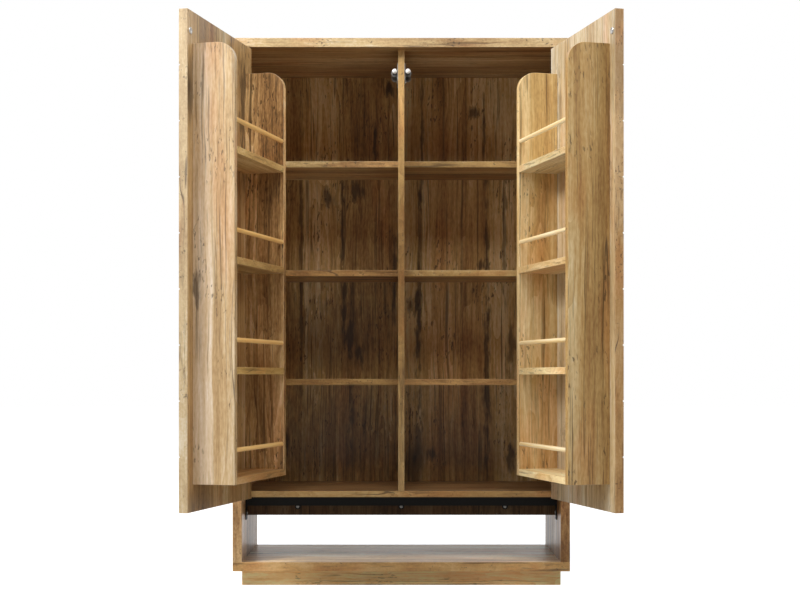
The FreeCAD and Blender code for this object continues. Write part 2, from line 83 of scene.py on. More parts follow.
# Cast, contrast of the grain and added paleness of single boards; the casts and paleness mix each board's
# own tone with painted light and shade, darker where the board stands in shade and paler where light or
# sheen falls on it
NO_CAST = (1.0, 1.0, 1.0)
PLAIN_LOOK = (NO_CAST, 1.0, 0.0)
BOARD_LOOKS_WITH_PAINTED_LIGHT = {
    "top_panel": ((0.90, 0.85, 0.80), 1.2, 0.0),
    # The base's pale cast is painted reflection on the niche floor; the plinth's pale cast and paleness are
    # painted light
    "base_panel": ((1.45, 1.45, 1.45), 1.1, 0.12),
    "plinth_front": ((1.50, 1.35, 1.05), 0.9, 0.22),
    # The cabinet floor's dark cast is painted shade
    "cabinet_floor": ((0.60, 0.50, 0.45), 1.0, 0.0),
    "left_side_panel": ((1.05, 1.00, 1.00), 1.4, 0.0),
    # The right side panel's darker cast is painted shade on its edge and inner face
    "right_side_panel": ((0.80, 0.70, 0.60), 1.4, 0.0),
    "centre_divider": ((1.00, 0.95, 0.80), 1.0, 0.0),
    "back_panel": ((1.20, 1.20, 1.05), 1.35, 0.08),
    # The apron's near-black cast is painted shade behind the support bar
    "niche_apron": ((0.17, 0.14, 0.11), 1.0, 0.0),
    "left_shelf_1": ((0.95, 0.90, 0.65), 1.2, 0.0),
    "left_shelf_2": ((0.95, 0.80, 0.60), 1.3, 0.0),
    "left_shelf_3": ((1.15, 1.20, 1.15), 1.3, 0.0),
    "right_shelf_1": ((1.05, 0.90, 0.70), 1.3, 0.0),
    "right_shelf_2": ((0.90, 0.85, 0.65), 1.3, 0.0),
    "right_shelf_3": ((0.90, 0.85, 0.70), 1.3, 0.0),
    "left_door_panel": ((0.90, 0.90, 0.85), 1.0, 0.0),
    "right_door_panel": ((0.85, 0.90, 1.00), 1.0, 0.13),
    # The paleness of the left rack's free side is painted sheen
    "left_rack_free_side": ((0.90, 0.90, 0.95), 1.05, 0.19),
    "right_rack_free_side": ((0.85, 0.80, 0.65), 1.15, 0.0),
    "left_rack_hinge_side": ((1.40, 1.35, 1.30), 1.5, 0.06),
    "right_rack_hinge_side": ((1.10, 1.10, 0.95), 1.0, 0.14),
    # The paler casts and paleness of the right rack's shelves are painted light
    "left_rack_shelf_4": ((1.15, 1.15, 1.00), 1.0, 0.15),
    "right_rack_shelf_4": ((1.05, 1.15, 1.15), 1.0, 0.16),
    "left_rack_shelf_3": ((0.95, 0.95, 0.80), 1.0, 0.0),
    "right_rack_shelf_3": ((1.15, 1.15, 1.10), 1.0, 0.2),
    "left_rack_shelf_2": ((1.00, 0.95, 0.70), 1.0, 0.0),
    "right_rack_shelf_2": ((1.25, 1.30, 1.20), 1.0, 0.2),
    "left_rack_shelf_1": ((0.80, 0.65, 0.50), 1.0, 0.0),
    "right_rack_shelf_1": ((1.25, 1.25, 1.10), 1.0, 0.2),
}

# Casts of the edge bands of single boards, with painted light: the pale bluish ones of the top's and the
# left door's edges are painted sheen, and the others set the edges' painted light and shade apart from the
# faces'
EDGE_CASTS_WITH_PAINTED_LIGHT = {
    "top_panel": (1.05, 1.20, 1.45),
    "base_panel": (0.75, 0.65, 0.50),
    "cabinet_floor": (1.30, 1.35, 1.00),
    "left_door_panel": (1.05, 1.25, 1.70),
    "right_door_panel": (0.95, 0.75, 0.55),
}

# Boards whose outer face keeps the oak's own tone, free of the painted light in casts, paleness and marks,
# and the way that it faces through the board
OUTER_FACES = {
    "top_panel": 1, "left_side_panel": -1, "right_side_panel": 1,
    "left_door_panel": 1, "right_door_panel": 1,
}

# Place of each board in the oak pattern: a step from board to board, or a chosen place
BOARD_STEP = (1.73, 0.59, 0.31)
BOARD_OFFSETS = {"back_panel": (22.09, 33.9, 7.14), "left_rack_free_side": (9.4, 3.31, 1.2)}

# Gloss of the pieces
USUAL_GLOSS = 0.5
DULL = {
    "niche_apron": 0.12, "left_side_panel": 0.35, "right_side_panel": 0.35, "black_powder_coat": 0.15,
}

# Smoky knots and cracks of the back panel, and broad marks of painted shade over its lower compartments:
# place across and up, half length, half width and strength
BACK_FACE = 0.161
BACK_MARKS_AND_PAINTED_SHADE = (
    (-0.191, 0.964, 0.03, 0.022, 0.9), (-0.115, 0.985, 0.04, 0.02, 0.95),
    (-0.154, 0.876, 0.19, 0.007, 1.0), (-0.15, 0.69, 0.11, 0.012, 1.0),
    (-0.137, 0.605, 0.07, 0.018, 1.0), (-0.107, 0.556, 0.038, 0.014, 1.0),
    (-0.261, 0.77, 0.5, 0.007, 0.8), (-0.018, 0.74, 0.15, 0.008, 0.9),
    (-0.032, 1.246, 0.022, 0.016, 1.0), (-0.068, 1.1, 0.08, 0.006, 1.0),
    (0.193, 1.186, 0.02, 0.016, 0.9), (0.054, 1.13, 0.24, 0.005, 0.85),
    (0.051, 0.964, 0.034, 0.01, 1.0), (0.045, 0.64, 0.22, 0.01, 1.0),
    (0.043, 0.685, 0.055, 0.013, 1.0), (0.023, 0.687, 0.034, 0.014, 0.9),
    (0.216, 1.13, 0.16, 0.005, 0.85), (0.223, 0.87, 0.19, 0.007, 1.0),
    (0.224, 0.5, 0.32, 0.011, 0.95), (0.207, 0.788, 0.018, 0.011, 1.0),
    (0.269, 0.88, 0.2, 0.008, 0.7), (0.287, 0.56, 0.08, 0.014, 0.75),
    (0.08, 0.292, 0.026, 0.016, 0.9), (0.284, 0.285, 0.05, 0.016, 0.9),
    (-0.3, 0.33, 0.05, 0.016, 0.9), (-0.13, 0.4, 0.12, 0.01, 0.9),
    # The last three marks are broad painted shade over the lower compartments
    (0.045, 0.32, 0.13, 0.014, 0.85), (-0.18, 0.33, 0.2, 0.25, 0.42),
    (-0.19, 0.6, 0.16, 0.16, 0.38), (0.17, 0.29, 0.14, 0.22, 0.25),
)

# Smoky knots, cracks and streaks of all boards, broad painted shade low on the back panel and on the left
# rack's hinge side, and a broad darker patch low on the divider's front: middle, half length, half width
# and strength
BOARD_MARKS_AND_PAINTED_SHADE = {
    "back_panel": [((across, BACK_FACE, up), *rest) for across, up, *rest in BACK_MARKS_AND_PAINTED_SHADE],
    "left_door_panel": [((-0.368, -0.24, 1.12), 0.2, 0.026, 0.95)],
    "right_door_panel": [
        ((0.368, -0.24, 1.12), 0.09, 0.018, 0.5), ((0.462, -0.543, 1.17), 0.14, 0.03, 0.35),
    ],
    # A broad mark of painted shade over the lower part of the left rack's hinge side
    "left_rack_hinge_side": [((-0.316, -0.238, 0.5), 0.45, 0.25, 0.3)],
    "centre_divider": [((0.0, -0.149, 0.33), 0.17, 0.06, 0.3)],
    "left_rack_free_side": [((-0.4325, -0.524, 0.686), 0.06, 0.012, 0.8)],
}

# The oak pattern: what it is given and what it gives
OAK_INPUTS = {
    "Place": "Vector", "Facing": "Vector", "Grooves": "Float", "Knots": "Float",
    "Contrast": "Float", "Paleness": "Float", "Cast": "Color", "Edge cast": "Color",
}
OAK_OUTPUTS = {"Colour": "Color", "Roughness": "Float", "Relief": "Float"}

# Weights of the oak's tones, rings, planks, marks and relief
MIDDLE_TONE = 0.53
EDGE_CALM = -0.22
EDGE_ON = 0.8
PLANK_SHIFT = (7.0, 7.0, 7.0)
RING_COUNT = 17.0
KNOT_PULL = 1.6
UMBER_SHARE = 0.35
FRAY = 2.6
PLANK_SOFTNESS = 0.6
BUMP_STRENGTH = 0.6
FIBREBOARD_LEVELS = (0.7, 1.25)
BARE_ROUGHNESS = 0.75

# Finishes of the fittings: colour, metallic, roughness, specks a metre and swing of the tone
FINISHES = {
    "black_powder_coat": ("black", 0.0, 0.5, 1500, 0.3),
    "zinc_plate": ("zinc", 1.0, 0.34, 700, 0.15),
    "spring_steel": ("steel", 1.0, 0.3, 900, 0.2),
    "screw_steel": ("steel", 1.0, 0.28, 1200, 0.2),
    # The bar's screws take a darker copy of the screw steel: painted shade
    "dark_screw_steel": ("steel_in_painted_shade", 1.0, 0.4, 1200, 0.2),
    "latch_grey": ("grey", 0.0, 0.42, 900, 0.12),
    "latch_dark_grey": ("dark_grey", 0.0, 0.36, 900, 0.25),
    "latch_white": ("white", 0.0, 0.3, 900, 0.05),
    "strike_nickel": ("strike", 1.0, 0.36, 1100, 0.15),
}
ROLLED = (1, 1, 0.15)
BROAD_SPECK = 9
SPECK_DEPTH = 0.00005

# Rails and dowels
RAIL_STEP = (0.7, 0.2, 0.1)
RAIL_GRAIN_DEPTH = 0.0002
RAIL_COAT = {"Coat Weight": 0.6, "Coat Roughness": 0.22}
DOWEL_STREAK = 0.8

# Shapes of the small fittings
ROUND_STEPS = 40
HOLE_STEPS = 24
STRIKE_STEPS = 56
CORNER_STEPS = 6
FACES_AWAY = -0.5
WELD = 0.000005
HEAD_PARTS = 20
PAN_PROFILE = ((0.4, 0.03), (0.7, 0.14), (0.9, 0.36), (1.0, 0.72), (1.0, 1.0))
RIM_PROFILE = ((0.0, 1.0), (0.0, 0.55), (0.3, 0.2), (1.0, 0.0), (1.5, 0.08))
STRIKE_DISH = 0.08
STRIKE_SINK = 0.6
SHANK_STRAIGHT = 0.85
RECESS_TAPER = (0.6, 0.6, 1.0)
LONG_SHANK = 0.012
SHORT_SHANK = 0.006
EASE = 0.0001
FLAT_EASE = 0.00008
TIP_EASE = 0.00006
BRACKET_EASE = 0.00025
TUBE_CLEARANCE = 0.00005
FOOT_SPREAD = 1.35
SCREW_HOLE = 0.00158
HOLE_ABOVE = 0.002
HOLE_BELOW = -0.02
TIP_RINGS = 20
PARTING = 0.0002
PARTING_REACH = 0.001

# Stage
LIGHT_AIM = Vector((0, -0.2, 0.7))
LIGHT_SIZES = {"key": 0.9, "top": 1.6, "low": 1.4, "fill": 1.4}
FLOOR_SIZE = 40.0
FLOOR_TONES = ((0.58, 0.58, 0.575), (0.62, 0.62, 0.62))
FLOOR_FADE = (0.8, 3.0)
FRONT_TO_REAR = (-0.3, 0.1)
SENSOR_WIDTH = 36.0


def number(name, text, default, **kind):
    """A number that a user may change."""
    return bpy.props.FloatProperty(name=name, description=text, default=default, **kind)


def length(name, text, default):
    """A length in metres that a user may change."""
    return number(name, text, default, precision=5, unit="LENGTH")


def share(name, text, default):
    """A value from nought to one that a user may change."""
    return number(name, text, default, subtype="FACTOR", min=0.0, max=1.0)


def power(name, text, default):
    """A light's power in watts that a user may change."""
    return number(name, text, default, unit="POWER")


def spot(name, text, default):
    """A place that a user may change."""
    return bpy.props.FloatVectorProperty(
        name=name, description=text, subtype="TRANSLATION", default=default,
    )


def colour(name, text, default):
    """A colour that a user may change."""
    return bpy.props.FloatVectorProperty(
        name=name, description=text, subtype="COLOR", size=3, min=0.0, max=1.0, default=default,
    )


class CabinetOak(bpy.types.PropertyGroup):
    """The oak finish of the boards."""
    palest: colour("Palest", "Limit of the paler boards", (0.93, 0.87, 0.75))
    cream: colour("Cream", "Palest streaks of the oak", (0.78, 0.64, 0.42))
    honey: colour("Honey", "Main colour of the oak", (0.56, 0.378, 0.172))
    brown: colour("Brown", "Darker bands of the oak", (0.32, 0.178, 0.068))
    dark: colour("Dark", "Cracks and the hearts of knots", (0.055, 0.03, 0.014))
    red: colour("Red cast", "Cast of the reddish planks", (0.99, 0.77, 0.68))
    grey: colour("Grey cast", "Cast of the greyish planks", (0.82, 0.87, 0.86))
    fibreboard: colour("Fibreboard", "Rear side of the back panel", (0.4, 0.27, 0.16))
    plank_width: length("Plank width", "Usual width of a plank in the oak pattern", 0.085)
    relief: length("Grain depth", "Depth of the embossed grain", 0.0004)
    roughness: share("Roughness", "Roughness of the satin lacquer", 0.38)


class CabinetFittings(bpy.types.PropertyGroup):
    """The finishes of rails and fittings."""
    rail: colour("Rail", "Main colour of the lacquered rails", (0.97, 0.67, 0.28))
    rail_streak: colour("Rail streaks", "Darker streaks of the rails", (0.95, 0.55, 0.18))
    # The paler right rails are a lit copy of the rail colour: painted highlight
    pale_rail_painted_highlight: colour("Pale rail", "Main colour of the paler right rails", (0.95, 0.85, 0.6))
    beech: colour("Beech", "Dowels", (0.62, 0.42, 0.25))
    black: colour("Black", "Powder coat of the support bar", (0.008, 0.008, 0.0075))
    strike: colour("Strike", "Nickel of the door strikes", (0.55, 0.54, 0.52))
    # A darker copy of the steel for the bar's screws: painted shade
    steel_in_painted_shade: colour("Dark steel", "Screws of the support bar", (0.34, 0.34, 0.33))
    zinc: colour("Zinc", "Hinge leaves and pins", (0.6, 0.59, 0.57))
    steel: colour("Steel", "Screws and springs", (0.68, 0.67, 0.65))
    grey: colour("Grey", "Latch brackets", (0.36, 0.37, 0.37))
    dark_grey: colour("Dark grey", "Latch tubes and plungers", (0.045, 0.052, 0.056))
    white: colour("White", "Latch tips", (0.8, 0.8, 0.78))


class CabinetScrews(bpy.types.PropertyGroup):
    """Sizes of the screws."""
    shank_radius: length("Shank radius", "Radius of every screw's shank", 0.0015)
    pan_radius: length("Pan radius", "Radius of a raised head", 0.004)
    pan_height: length("Pan height", "Height of a raised head", 0.0024)
    flat_radius: length("Flat radius", "Radius of a countersunk head", 0.0026)
    flat_depth: length("Flat depth", "Depth of a countersunk head", 0.0012)
    slot_width: length("Slot width", "Width of the cross recess's arms", 0.0009)
    slot_span: length("Slot span", "Length across the cross recess", 0.0038)
    slot_depth: length("Slot depth", "Depth of the cross recess", 0.0009)


class CabinetLatches(bpy.types.PropertyGroup):
    """Sizes of the push latches and their strikes."""
    collar_wall: length("Collar wall", "Thickness of the collars round the tube", 0.0017)
    collar_width: length("Collar width", "Length of a collar along the tube", 0.01)
    collar_inset: length("Collar inset", "Distance of a collar from the tube's end", 0.012)
    plate: length("Plate", "Thickness of the bracket's plate", 0.0022)
    panel_inset: length("Panel inset", "Width of the plate's raised rim", 0.0018)
    panel_depth: length("Panel depth", "Depth of the plate's sunk panel", 0.0005)
    corner: length("Corner", "Corner radius of the plate", 0.004)
    bore_radius: length("Bore radius", "Radius of the tube's bore", 0.0041)
    bore_end: length("Bore end", "Thickness of the tube's closed end", 0.003)
    rib_pitch: length("Rib pitch", "Distance between the tube's ribs", 0.005)
    rib_depth: length("Rib depth", "Depth of the grooves between the ribs", 0.0005)
    strike_hole: length("Strike hole", "Radius of the strike's hole", 0.00265)
    strike_rim: length("Strike rim", "Width of the strike's rounded rim", 0.0012)


class CabinetStage(bpy.types.PropertyGroup):
    """Light and camera."""
    key_power: power("Key light", "Power of the soft light on the left", 98.0)
    top_power: power("Top light", "Power of the soft light above the front", 53.0)
    low_power: power("Low light", "Power of the low soft light on the left", 11.0)
    fill_power: power("Fill light", "Power of the weak soft light on the right", 38.0)
    key_place: spot("Key place", "Place of the soft light on the left", (-2.171, -1.213, 2.505))
    top_place: spot("Top place", "Place of the soft light above the front", (0.0, -1.921, 3.157))
    low_place: spot("Low place", "Place of the low soft light on the left", (-2.049, -2.249, 1.476))
    fill_place: spot("Fill place", "Place of the weak soft light on the right", (2.227, -1.239, 2.421))
    surround: share("Surround", "Strength of the even light from all around", 0.02)
    front_dim: share("Dim front", "Strength of the surround that a gloss shows on the camera's side", 0.12)
    floor_white: share("Floor white", "Share of the floor's white that no shadow takes away", 0.9)
    camera_distance: length("Camera distance", "Distance of the camera in front of the middle", 3.452)
    camera_height: length("Camera height", "Height of the camera", 0.4936)
    lens: number("Lens", "Focal length in millimetres", 62.21, unit="CAMERA")
    shift_x: number("Shift across", "Sideways lens shift", -0.0016)
    shift_y: number("Shift up", "Upward lens shift", 0.0975)


# Looks

class Net:
    """The shader nodes of a material, a pattern or the surround."""

    def __init__(self, tree):
        self.tree = tree

    def feed(self, socket, value):
        """Links an output to a socket, or sets the socket's own value."""
        if isinstance(value, bpy.types.NodeSocket):
            self.tree.links.new(value, socket)
        else:
            socket.default_value = value

    def add(self, kind, inputs=None, **settings):
        """Adds a node, sets its options, feeds its inputs and gives its outputs."""
        made = self.tree.nodes.new("ShaderNode" + kind)
        for key, value in settings.items():
            setattr(made, key, value)
        for key, value in (inputs or {}).items():
            self.feed(made.inputs[key], value)
        return made.outputs

    def calc(self, operation, *terms):
        """One step of arithmetic."""
        return self.add("Math", dict(enumerate(terms)), operation=operation)[0]

    def vector(self, operation, *terms):
        """One step of arithmetic with vectors."""
        return self.add("VectorMath", dict(enumerate(terms)), operation=operation)

    def split(self, value):
        """The three parts of a vector."""
        return self.add("SeparateXYZ", {0: value})

    def built(self, *parts):
        """A vector made of three parts."""
        return self.add("CombineXYZ", dict(enumerate(parts)))[0]

    def scaled(self, value, factor, base):
        """A value times a factor, on top of a base."""
        return self.calc("MULTIPLY_ADD", value, factor, base)

    def product(self, *terms):
        """Several values multiplied."""
        total = terms[0]
        for term in terms[1:]:
            total = self.calc("MULTIPLY", total, term)
        return total

    def weighed(self, base, *pairs):
        """A base value to which each pattern adds its swing about one half, times its weight."""
        total = base - sum(weight for pattern, weight in pairs) / 2
        for pattern, weight in pairs:
            total = self.scaled(pattern, weight, total)
        return total

    def rise(self, value, low, high, base=0.0):
        """A smooth rise from a base at one level to one at another."""
        return self.add("MapRange", {
            "Value": value, "From Min": low, "From Max": high, "To Min": base,
        }, interpolation_type="SMOOTHSTEP")[0]

    def mixed(self, factor, first, second, kind="MIX"):
        """Two colours mixed by a factor."""
        return self.add("Mix", {0: factor, 6: first, 7: second}, data_type="RGBA", blend_type=kind)[2]

    def ramped(self, value, stops):
        """A value turned into a colour by stops."""
        made = self.tree.nodes.new("ShaderNodeValToRGB")
        self.feed(made.inputs[0], value)
        marks = made.color_ramp.elements
        marks[0].position = stops[0][0]
        marks[1].position = stops[-1][0]
        for position, tone in stops[1:-1]:
            marks.new(position)
        for mark, (position, tone) in zip(marks, stops):
            mark.color = solid(tone)
        return made.outputs[0]

    def grained(self, place, scale, detail=2.0):
        """Noise drawn out by its scale along, across and through a board, in cycles a metre."""
        mapped = self.add("Mapping", {"Vector": place, "Scale": scale})[0]
        return self.add("TexNoise", {"Vector": mapped, "Scale": 1.0, "Detail": detail})[0]

    def patches(self, place, scale, low, high):
        """Patches where such noise rises from one level to another."""
        return self.rise(self.grained(place, scale), low, high)


def solid(tone):
    """A colour with its alpha."""
    return (*tone, 1.0)


def emptied(owner):
    """The emptied net of a material or surround."""
    owner.use_nodes = True
    owner.node_tree.nodes.clear()
    return Net(owner.node_tree)


def new_material(name):
    """An empty material with its shader joined to its output."""
    material = bpy.data.materials.new(name)
    net = emptied(material)
    shader = net.tree.nodes.new("ShaderNodeBsdfPrincipled")
    net.add("OutputMaterial", {0: shader.outputs[0]})
    return material, net, shader


def finish_shader(net, shader, relief, depth, looks):
    """Joins relief, colour and gloss to a shader."""
    bump = net.add("Bump", {"Strength": BUMP_STRENGTH, "Distance": depth, "Height": relief})[0]
    for name, value in {"Normal": bump, **looks}.items():
        net.feed(shader.inputs[name], value)


def dress(piece, material):
    """Gives a piece one material all over."""
    if not piece.material_slots:
        piece.data.materials.append(material)
    for place in piece.material_slots:
        place.material = material


def dress_node(name, material):
    """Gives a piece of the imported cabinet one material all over."""
    dress(frame["nodes"][name], material)


def along_board(net, grain, face, offset):
    """Place and facing on a board, read along the grain, across it and through the board."""
    turn = Matrix((grain, face.cross(grain), face)).to_euler()
    source = net.add("TexCoord")
    place = net.add("Mapping", {"Vector": source["Object"], "Rotation": turn, "Location": offset})[0]
    facing = net.add("Mapping", {"Vector": source["Normal"], "Rotation": turn}, vector_type="VECTOR")[0]
    return place, facing


def oak_pattern(oak):
    """The oak: planks of different tones with waving streaks, rings, fibres, knots, cracks and ticks, and
    the painted light and shade that its given casts, paleness and marks carry.
    """
    tree = bpy.data.node_groups.new("oak_pattern", "ShaderNodeTree")
    for way, sockets in (("INPUT", OAK_INPUTS), ("OUTPUT", OAK_OUTPUTS)):
        for name, kind in sockets.items():
            tree.interface.new_socket(name, in_out=way, socket_type="NodeSocket" + kind)
    net = Net(tree)
    given = tree.nodes.new("NodeGroupInput").outputs
    result = tree.nodes.new("NodeGroupOutput").inputs
    contrast = given["Contrast"]

    # On the ends of a board the edge band's grain runs along the edge
    facing = net.split(net.vector("ABSOLUTE", given["Facing"])[0])
    plain = net.split(given["Place"])
    banded = net.built(plain[1], plain[2], plain[0])
    end = net.rise(facing[0], 0.86, 0.94)
    parts = net.split(net.add("Mix", {0: end, 4: given["Place"], 5: banded}, data_type="VECTOR")[1])

    # The pattern is shorter and calmer on the edges than on the faces
    edge = net.calc("GREATER_THAN", net.calc("MAXIMUM", facing[0], facing[1]), EDGE_ON)
    along = net.product(parts[0], net.scaled(edge, 1.5, 1.0))
    straight = net.built(along, parts[1], parts[2])

    # The grain waves along a board, in long turns with shorter ones on them
    long_wave = net.grained(straight, (1.7, 4, 4))
    short_wave = net.grained(straight, (7, 15, 15))
    across = net.calc("ADD", parts[1], net.weighed(0.0, (long_wave, 0.022), (short_wave, 0.006)))
    place = net.built(along, across, parts[2])

    # Planks
    row = {"W": across, "Scale": 1 / oak.plank_width}
    soft_row = {**row, "Smoothness": PLANK_SOFTNESS}
    plank = net.add("TexVoronoi", row, voronoi_dimensions="1D")["Color"]
    soft = net.add("TexVoronoi", soft_row, voronoi_dimensions="1D", feature="SMOOTH_F1")["Color"]
    border = net.add("TexVoronoi", row, voronoi_dimensions="1D", feature="DISTANCE_TO_EDGE")["Distance"]
    joint = net.product(net.rise(border, 0.025, 0.0), net.patches(place, (2, 9, 9), 0.48, 0.6))
    draw = net.add("SeparateColor", {0: soft})

    # Knot hearts ringed with smoke, joined by the given marks, some of which are broad painted shade
    spread = net.add("Mapping", {"Vector": place, "Scale": (2.1, 7.0, 7.0)})[0]
    knot = net.add("TexVoronoi", {"Vector": spread, "Scale": 1.0}, voronoi_dimensions="2D")
    chance = net.add("SeparateColor", {0: knot["Color"]})[0]
    there = net.product(net.rise(chance, 0.93, 0.97), net.scaled(edge, -0.8, 1.0))
    ragged = net.scaled(net.grained(place, (14, 60, 60), 3.0), 0.2, knot["Distance"])
    halo_and_painted_shade = net.calc("MAXIMUM", net.product(net.rise(ragged, 0.36, 0.12), there), given["Knots"])
    heart = net.product(net.rise(ragged, 0.155, 0.12), there)

    # Growth rings that bend round the knots, and the bands, streaks and fibres along them
    moved = net.vector("MULTIPLY_ADD", plank, PLANK_SHIFT, place)[0]
    figure = net.product(net.grained(moved, (1.4, 9, 9)), RING_COUNT)
    rings = net.calc("FRACT", net.scaled(halo_and_painted_shade, KNOT_PULL, figure))
    ringed = net.product(rings, net.patches(place, (2.4, 9, 9), 0.44, 0.62))
    bands = net.grained(moved, (0.8, 22, 16))
    streaks = net.grained(moved, (3.5, 85, 60))
    fibres = net.grained(place, (9, 240, 200))
    grit = net.grained(place, (70, 260, 230))
    clouds = net.grained(place, (4.2, 10, 10), 3.0)
    flush = net.grained(place, (2.6, 12, 12), 3.0)

    # Tone and colour
    swing = net.weighed(
        0.0, (draw[0], 0.2), (bands, 0.55), (streaks, 0.36), (fibres, 0.3),
        (grit, 0.28), (clouds, 0.22), (ringed, 0.14),
    )
    tone = net.scaled(swing, net.scaled(edge, EDGE_CALM, contrast), MIDDLE_TONE)
    # The given paleness adds painted light and sheen on some boards
    shade = net.ramped(net.calc("ADD", tone, given["Paleness"]), (
        (0.1, oak.dark), (0.34, oak.brown), (0.56, oak.honey), (0.82, oak.cream), (1.0, oak.palest),
    ))
    red_plank = net.product(net.rise(draw[1], 0.45, 0.9), 0.5)
    redder = net.calc("MAXIMUM", red_plank, net.rise(flush, 0.5, 0.68))
    shade = net.mixed(net.product(redder, 0.65), shade, solid(oak.red), "MULTIPLY")
    greyer = net.product(net.rise(draw[2], 0.45, 0.9), 0.08)
    shade = net.mixed(greyer, shade, solid(oak.grey), "MULTIPLY")

    # Pores, hairlines, cracks, ticks, knots with the painted shade of the given marks, and plank borders
    pore = net.product(
        net.patches(place, (7, 230, 200), 0.55, 0.68), net.patches(moved, (1.3, 16, 12), 0.42, 0.6),
    )
    hairline = net.product(
        net.patches(moved, (1.5, 115, 95), 0.58, 0.68), net.patches(place, (1.8, 10, 10), 0.42, 0.58),
    )
    line = net.calc("SUBTRACT", net.grained(moved, (0.9, 24, 20)), 0.5)
    crack = net.product(
        net.rise(net.calc("ABSOLUTE", line), 0.013, 0.002), net.patches(place, (1.6, 8, 8), 0.56, 0.66),
    )
    leaning = net.built(net.scaled(across, 0.9, along), across, parts[2])
    tick = net.product(
        net.patches(leaning, (60, 210, 210), 0.6, 0.67), net.patches(place, (9, 15, 15), 0.5, 0.6),
    )
    umber = Vector(oak.brown) * UMBER_SHARE
    for pattern, weight, dye in (
        (net.product(pore, contrast), 0.55, umber), (net.product(hairline, contrast), 0.6, umber),
        (halo_and_painted_shade, 0.88, oak.dark), (heart, 0.85, oak.dark), (crack, 0.75, oak.dark),
        (net.product(tick, contrast), 0.6, oak.dark), (joint, 0.35, oak.brown),
    ):
        shade = net.mixed(net.product(pattern, weight), shade, solid(dye))

    # Shade in the door's grooves and a paler line on the eased edges
    groove = net.product(given["Grooves"], net.rise(facing[0], 0.5, 0.65), net.rise(facing[0], 0.9, 0.84))
    eased = net.product(
        net.rise(facing[2], 0.2, 0.4), net.rise(facing[2], 0.97, 0.85), net.calc("SUBTRACT", 1.0, groove),
    )
    shade = net.mixed(net.product(groove, 0.45), shade, solid(oak.brown))
    shade = net.mixed(net.product(eased, 0.3), shade, solid(oak.cream))
    # The board's casts, which carry painted light and shade
    shade = net.mixed(1.0, shade, given["Cast"], "MULTIPLY")
    shade = net.mixed(edge, shade, given["Edge cast"], "MULTIPLY")
    net.feed(result["Colour"], net.mixed(1.0, shade, solid(oak.palest), "DARKEN"))

    # Gloss and relief
    rough = net.weighed(oak.roughness, (fibres, -0.3), (streaks, -0.2), (clouds, 0.15))
    net.feed(result["Roughness"], net.scaled(crack, 0.25, rough))
    relief = net.weighed(0.6, (fibres, 0.5), (streaks, 0.4), (ringed, 0.15))
    for pattern, depth in (
        (pore, -0.3), (hairline, -0.3), (crack, -0.6), (tick, -0.4), (joint, -0.2), (heart, -0.4),
    ):
        relief = net.scaled(pattern, depth, relief)
    net.feed(result["Relief"], relief)
    return tree


def marks_and_painted_shade(net, spots, grain, across):
    """Dark marks on a board, from knots and cracks to broad painted shade: middle, half length, half width
    and strength of each.
    """
    source = net.add("TexCoord")["Object"]
    frayed = net.calc("SUBTRACT", net.grained(source, (120, 120, 26), 4.0), 0.5)
    total = 0.0
    for middle, half_length, half_width, strength in spots:
        away = net.vector("SUBTRACT", source, Vector(middle))[0]
        along = net.vector("DOT_PRODUCT", away, grain / half_length)["Value"]
        aside = net.vector("DOT_PRODUCT", away, across / half_width)["Value"]
        reach = net.calc("SQRT", net.calc("ADD", net.product(along, along), net.product(aside, aside)))
        edge = net.rise(net.scaled(frayed, FRAY, reach), 1.1, 0.25)
        total = net.calc("MAXIMUM", total, net.product(edge, strength))
    return total


def oak_material(board, pattern, oak, grain, face, offset):
    """The oak of one board."""
    material, net, shader = new_material("oak_" + board)
    place, facing = along_board(net, grain, face, offset)
    # Cast and paleness carry painted light and shade; the outer face keeps neither
    cast, contrast, paleness = BOARD_LOOKS_WITH_PAINTED_LIGHT.get(board, PLAIN_LOOK)
    through = net.split(facing)[2]
    inner = net.rise(net.product(through, OUTER_FACES.get(board, 0)), 0.9, 0.8)
    # The board's dark marks, broad painted shade among them
    marks = marks_and_painted_shade(net, BOARD_MARKS_AND_PAINTED_SHADE.get(board, ()), grain, face.cross(grain))
    wood = net.add("Group", {
        "Place": place, "Facing": facing, "Contrast": contrast,
        "Grooves": float(board in GROOVED_BOARDS),
        "Knots": net.product(inner, marks), "Paleness": net.product(inner, paleness),
        "Cast": net.mixed(inner, solid(NO_CAST), solid(cast)),
        "Edge cast": solid(EDGE_CASTS_WITH_PAINTED_LIGHT.get(board, NO_CAST)),
    }, node_tree=pattern)
    tone = wood["Colour"]
    rough = wood["Roughness"]
    if board == BARE_BACKED:
        rear = net.rise(through, -0.4, -0.6)
        felt = net.grained(place, (260, 260, 260), 4.0)
        threads = net.grained(place, (900, 90, 90))
        clouds = net.grained(place, (16, 16, 16), 3.0)
        felted = net.weighed(0.5, (felt, 2.0), (threads, 1.2), (clouds, 0.9))
        low, high = (solid(Vector(oak.fibreboard) * level) for level in FIBREBOARD_LEVELS)
        tone = net.mixed(rear, tone, net.mixed(felted, low, high))
        rough = net.calc("MAXIMUM", rough, net.product(rear, BARE_ROUGHNESS))
    finish_shader(net, shader, wood["Relief"], oak.relief, {
        "Base Color": tone, "Roughness": rough, "Specular IOR Level": DULL.get(board, USUAL_GLOSS),
    })
    return material


